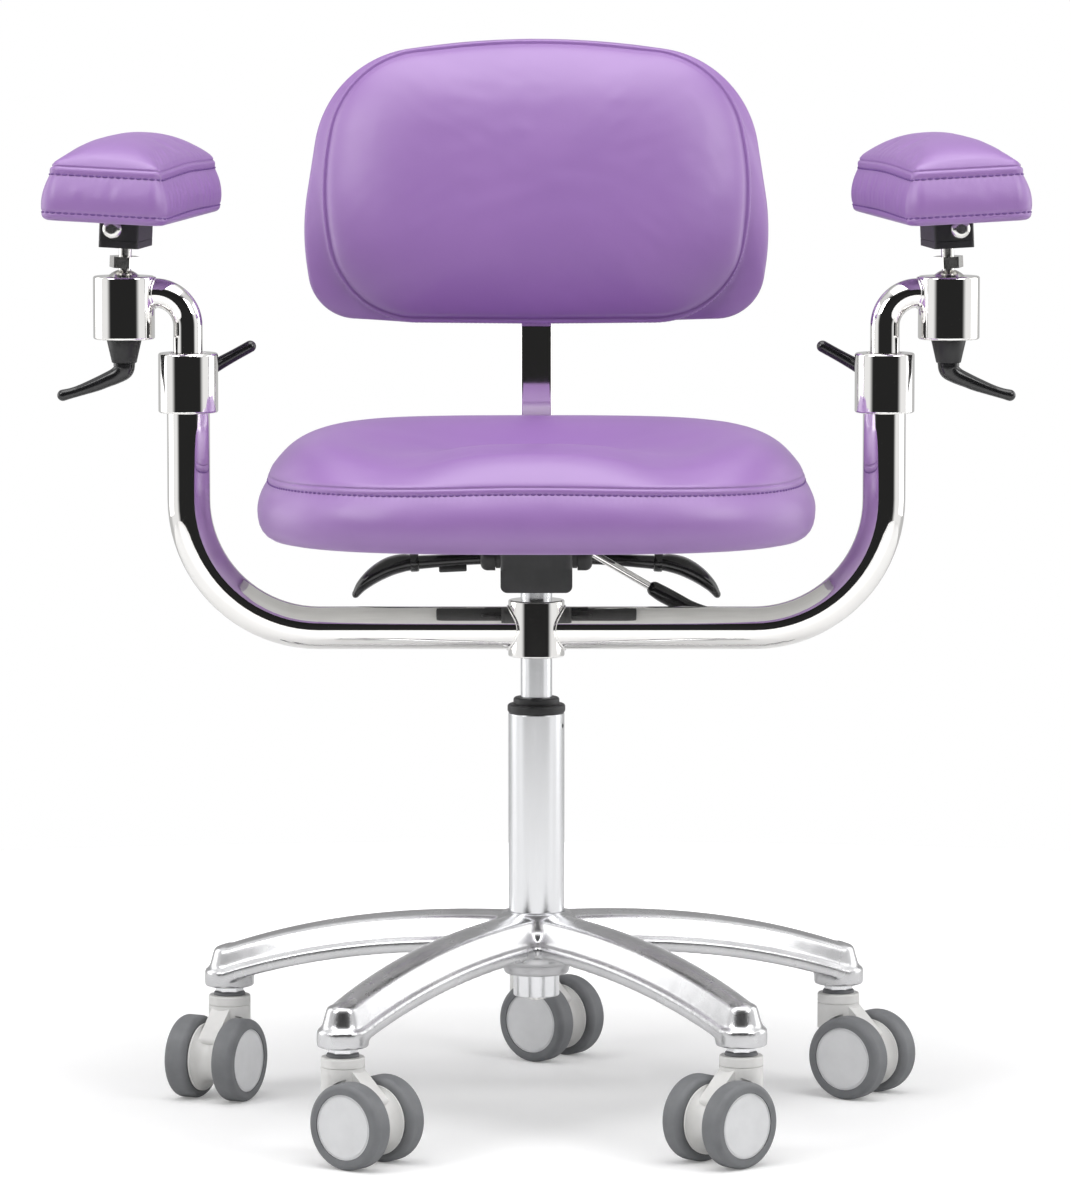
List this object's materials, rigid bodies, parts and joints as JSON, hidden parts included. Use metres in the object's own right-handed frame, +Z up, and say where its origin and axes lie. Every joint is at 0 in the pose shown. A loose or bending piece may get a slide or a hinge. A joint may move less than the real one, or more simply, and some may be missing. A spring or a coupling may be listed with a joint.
{
  "type": "laboratory chair",
  "caption": "Rolling work chair with gas lift, tilting padded seat, reclining adjustable back and swivelling padded arm rests on a bent chromed tube frame.",
  "frame": {"origin": "on the floor under the column's axis", "axes": "+Z up, +Y towards the back of the chair, +X to the right seen from the front"},
  "size_m": [0.8598, 0.6256, 0.9534],
  "materials": {
    "polished_aluminium": "polished cast aluminium",
    "satin_steel": "satin",
    "black_plastic": "satin black plastic",
    "bright_steel": "bright plated steel",
    "chrome": "mirror chrome plating",
    "mech_paint": "dark grey powder coat",
    "black_steel": "black steel with moulded caps",
    "coated_board": "plywood with a light grey laminate",
    "purple_vinyl": "satin purple vinyl-coated fabric",
    "gloss_black": "gloss black moulding",
    "castor_grey": "light grey moulding",
    "disc_grey": "light grey moulding",
    "tyre_grey": "mid-grey soft tread",
    "liner_plastic": "natural plastic liner",
    "black_aluminium": "satin black anodised aluminium"
  },
  "bodies": {
    "base": {"base_star": "polished_aluminium", "column_tube": "satin_steel", "column_bush": "black_plastic", "castor_stems": "satin_steel"},
    "piston": {"lift_rod": "bright_steel"},
    "post": {"gas_cylinder": "satin_steel", "arm_frame": "chrome", "mech_housing": "mech_paint", "mech_cover": "mech_paint", "pivot_pins": "black_steel"},
    "seat": {"seat_plate": "mech_paint", "seat_board": "coated_board", "seat_cushion": "purple_vinyl"},
    "back_arm": {"back_bar": "chrome"},
    "back": {"back_shell": "black_plastic", "back_cushion": "purple_vinyl"},
    "height_lever": {"height_lever": "gloss_black"},
    "tilt_lever": {"tilt_lever": "gloss_black"},
    "back_lever": {"back_lever": "gloss_black"},
    "bush_left": {"arm_bush_left": "liner_plastic"},
    "elbow_left": {"elbow_arm_left": "chrome"},
    "stud_left": {"ball_stud_left": "bright_steel"},
    "pad_left": {"pad_block_left": "black_aluminium", "pad_bolt_left": "bright_steel", "arm_pad_left": "purple_vinyl"},
    "collar_lever_left": {"collar_lever_left": "gloss_black"},
    "pad_lever_left": {"pad_lever_left": "gloss_black"},
    "bush_right": {"arm_bush_right": "liner_plastic"},
    "elbow_right": {"elbow_arm_right": "chrome"},
    "stud_right": {"ball_stud_right": "bright_steel"},
    "pad_right": {"pad_block_right": "black_aluminium", "pad_bolt_right": "bright_steel", "arm_pad_right": "purple_vinyl"},
    "collar_lever_right": {"collar_lever_right": "gloss_black"},
    "pad_lever_right": {"pad_lever_right": "gloss_black"},
    "castor_rear": {"castor_rear_body": "castor_grey"},
    "wheel_rear_a": {"castor_rear_hub_a": "disc_grey", "castor_rear_tyre_a": "tyre_grey"},
    "wheel_rear_b": {"castor_rear_hub_b": "disc_grey", "castor_rear_tyre_b": "tyre_grey"},
    "castor_rear_left": {"castor_rear_left_body": "castor_grey"},
    "wheel_rear_left_a": {"castor_rear_left_hub_a": "disc_grey", "castor_rear_left_tyre_a": "tyre_grey"},
    "wheel_rear_left_b": {"castor_rear_left_hub_b": "disc_grey", "castor_rear_left_tyre_b": "tyre_grey"},
    "castor_front_left": {"castor_front_left_body": "castor_grey"},
    "wheel_front_left_a": {"castor_front_left_hub_a": "disc_grey", "castor_front_left_tyre_a": "tyre_grey"},
    "wheel_front_left_b": {"castor_front_left_hub_b": "disc_grey", "castor_front_left_tyre_b": "tyre_grey"},
    "castor_front_right": {"castor_front_right_body": "castor_grey"},
    "wheel_front_right_a": {"castor_front_right_hub_a": "disc_grey", "castor_front_right_tyre_a": "tyre_grey"},
    "wheel_front_right_b": {"castor_front_right_hub_b": "disc_grey", "castor_front_right_tyre_b": "tyre_grey"},
    "castor_rear_right": {"castor_rear_right_body": "castor_grey"},
    "wheel_rear_right_a": {"castor_rear_right_hub_a": "disc_grey", "castor_rear_right_tyre_a": "tyre_grey"},
    "wheel_rear_right_b": {"castor_rear_right_hub_b": "disc_grey", "castor_rear_right_tyre_b": "tyre_grey"}
  },
  "joints": [
    {"name": "seat_swivel", "type": "hinge", "parent": "base", "child": "piston", "pos_m": [0, 0, 0.1135], "axis": [0, 0, 1], "continuous": true},
    {"name": "seat_lift", "type": "slide", "parent": "piston", "child": "post", "axis": [0, 0, 1], "range_m": [-0.03, 0.12]},
    {"name": "seat_tilt", "type": "hinge", "parent": "post", "child": "seat", "pos_m": [0, -0.03, 0.503], "axis": [1, 0, 0], "range_deg": [-2, 8]},
    {"name": "back_recline", "type": "hinge", "parent": "post", "child": "back_arm", "pos_m": [0, 0.076, 0.5025], "axis": [-1, 0, 0], "range_deg": [-5, 20]},
    {"name": "back_height", "type": "slide", "parent": "back_arm", "child": "back", "axis": [0, 0.1392, 0.9903], "range_m": [-0.02, 0.05]},
    {"name": "height_lever", "type": "hinge", "parent": "post", "child": "height_lever", "pos_m": [0.04, 0.054, 0.493], "axis": [0, -1, 0], "range_deg": [0, 7], "stiffness_Nm_per_rad": 3, "springref_deg": -5.73},
    {"name": "tilt_lever", "type": "hinge", "parent": "post", "child": "tilt_lever", "pos_m": [-0.04, 0.054, 0.493], "axis": [0, 1, 0], "range_deg": [0, 7], "stiffness_Nm_per_rad": 3, "springref_deg": -5.73},
    {"name": "back_lever", "type": "hinge", "parent": "post", "child": "back_lever", "pos_m": [0.04, 0.03, 0.5055], "axis": [0, -1, 0], "range_deg": [0, 7], "stiffness_Nm_per_rad": 3, "springref_deg": -5.73},
    {"name": "elbow_turn_left", "type": "hinge", "parent": "post", "child": "bush_left", "pos_m": [-0.3085, 0, 0.65425], "axis": [0, 0, -1], "range_deg": [-40, 40]},
    {"name": "elbow_lift_left", "type": "slide", "parent": "bush_left", "child": "elbow_left", "axis": [0, 0, 1], "range_m": [-0.015, 0.06]},
    {"name": "ball_tilt_left", "type": "hinge", "parent": "elbow_left", "child": "stud_left", "pos_m": [-0.365, 0, 0.73587], "axis": [0.9836, -0.1744, -0.0471], "range_deg": [-12, 12]},
    {"name": "pad_swivel_left", "type": "hinge", "parent": "stud_left", "child": "pad_left", "pos_m": [-0.365, 0, 0.73587], "axis": [-0.0433, 0.0254, -0.9987], "range_deg": [-40, 40]},
    {"name": "collar_lever_left", "type": "hinge", "parent": "post", "child": "collar_lever_left", "pos_m": [-0.3085, 0.0265, 0.65425], "axis": [0, -1, 0], "range_deg": [-60, 60]},
    {"name": "pad_lever_left", "type": "hinge", "parent": "elbow_left", "child": "pad_lever_left", "pos_m": [-0.365, 0, 0.69287], "axis": [0, 0, -1], "range_deg": [-30, 90]},
    {"name": "elbow_turn_right", "type": "hinge", "parent": "post", "child": "bush_right", "pos_m": [0.3085, 0, 0.65425], "axis": [0, 0, 1], "range_deg": [-40, 40]},
    {"name": "elbow_lift_right", "type": "slide", "parent": "bush_right", "child": "elbow_right", "axis": [0, 0, 1], "range_m": [-0.015, 0.06]},
    {"name": "ball_tilt_right", "type": "hinge", "parent": "elbow_right", "child": "stud_right", "pos_m": [0.365, 0, 0.73587], "axis": [0.9836, 0.1744, 0.0471], "range_deg": [-12, 12]},
    {"name": "pad_swivel_right", "type": "hinge", "parent": "stud_right", "child": "pad_right", "pos_m": [0.365, 0, 0.73587], "axis": [-0.0433, -0.0254, 0.9987], "range_deg": [-40, 40]},
    {"name": "collar_lever_right", "type": "hinge", "parent": "post", "child": "collar_lever_right", "pos_m": [0.3085, 0.0265, 0.65425], "axis": [0, 1, 0], "range_deg": [-60, 60]},
    {"name": "pad_lever_right", "type": "hinge", "parent": "elbow_right", "child": "pad_lever_right", "pos_m": [0.365, 0, 0.69287], "axis": [0, 0, 1], "range_deg": [-30, 90]},
    {"name": "swivel_rear", "type": "hinge", "parent": "base", "child": "castor_rear", "pos_m": [-0.00609, 0.29094, 0], "axis": [0, 0, 1], "continuous": true},
    {"name": "roll_rear_a", "type": "hinge", "parent": "castor_rear", "child": "wheel_rear_a", "pos_m": [0.01467, 0.27529, 0.0375], "axis": [0.6018, 0.7986, 0], "continuous": true},
    {"name": "roll_rear_b", "type": "hinge", "parent": "castor_rear", "child": "wheel_rear_b", "pos_m": [0.01467, 0.27529, 0.0375], "axis": [0.6018, 0.7986, 0], "continuous": true},
    {"name": "swivel_rear_left", "type": "hinge", "parent": "base", "child": "castor_rear_left", "pos_m": [-0.27858, 0.08411, 0], "axis": [0, 0, 1], "continuous": true},
    {"name": "roll_rear_left_a", "type": "hinge", "parent": "castor_rear_left", "child": "wheel_rear_left_a", "pos_m": [-0.28998, 0.06074, 0.0375], "axis": [0.8988, -0.4384, 0], "continuous": true},
    {"name": "roll_rear_left_b", "type": "hinge", "parent": "castor_rear_left", "child": "wheel_rear_left_b", "pos_m": [-0.28998, 0.06074, 0.0375], "axis": [0.8988, -0.4384, 0], "continuous": true},
    {"name": "swivel_front_left", "type": "hinge", "parent": "base", "child": "castor_front_left", "pos_m": [-0.16608, -0.23895, 0], "axis": [0, 0, 1], "continuous": true},
    {"name": "roll_front_left_a", "type": "hinge", "parent": "castor_front_left", "child": "wheel_front_left_a", "pos_m": [-0.14504, -0.25424, 0.0375], "axis": [0.5878, 0.809, 0], "continuous": true},
    {"name": "roll_front_left_b", "type": "hinge", "parent": "castor_front_left", "child": "wheel_front_left_b", "pos_m": [-0.14504, -0.25424, 0.0375], "axis": [0.5878, 0.809, 0], "continuous": true},
    {"name": "swivel_front_right", "type": "hinge", "parent": "base", "child": "castor_front_right", "pos_m": [0.17594, -0.23179, 0], "axis": [0, 0, 1], "continuous": true},
    {"name": "roll_front_right_a", "type": "hinge", "parent": "castor_front_right", "child": "wheel_front_right_a", "pos_m": [0.15692, -0.24952, 0.0375], "axis": [0.682, -0.7314, 0], "continuous": true},
    {"name": "roll_front_right_b", "type": "hinge", "parent": "castor_front_right", "child": "wheel_front_right_b", "pos_m": [0.15692, -0.24952, 0.0375], "axis": [0.682, -0.7314, 0], "continuous": true},
    {"name": "swivel_rear_right", "type": "hinge", "parent": "base", "child": "castor_rear_right", "pos_m": [0.27481, 0.0957, 0], "axis": [0, 0, 1], "continuous": true},
    {"name": "roll_rear_right_a", "type": "hinge", "parent": "castor_rear_right", "child": "wheel_rear_right_a", "pos_m": [0.29611, 0.08079, 0.0375], "axis": [0.5736, 0.8192, 0], "continuous": true},
    {"name": "roll_rear_right_b", "type": "hinge", "parent": "castor_rear_right", "child": "wheel_rear_right_b", "pos_m": [0.29611, 0.08079, 0.0375], "axis": [0.5736, 0.8192, 0], "continuous": true}
  ]
}
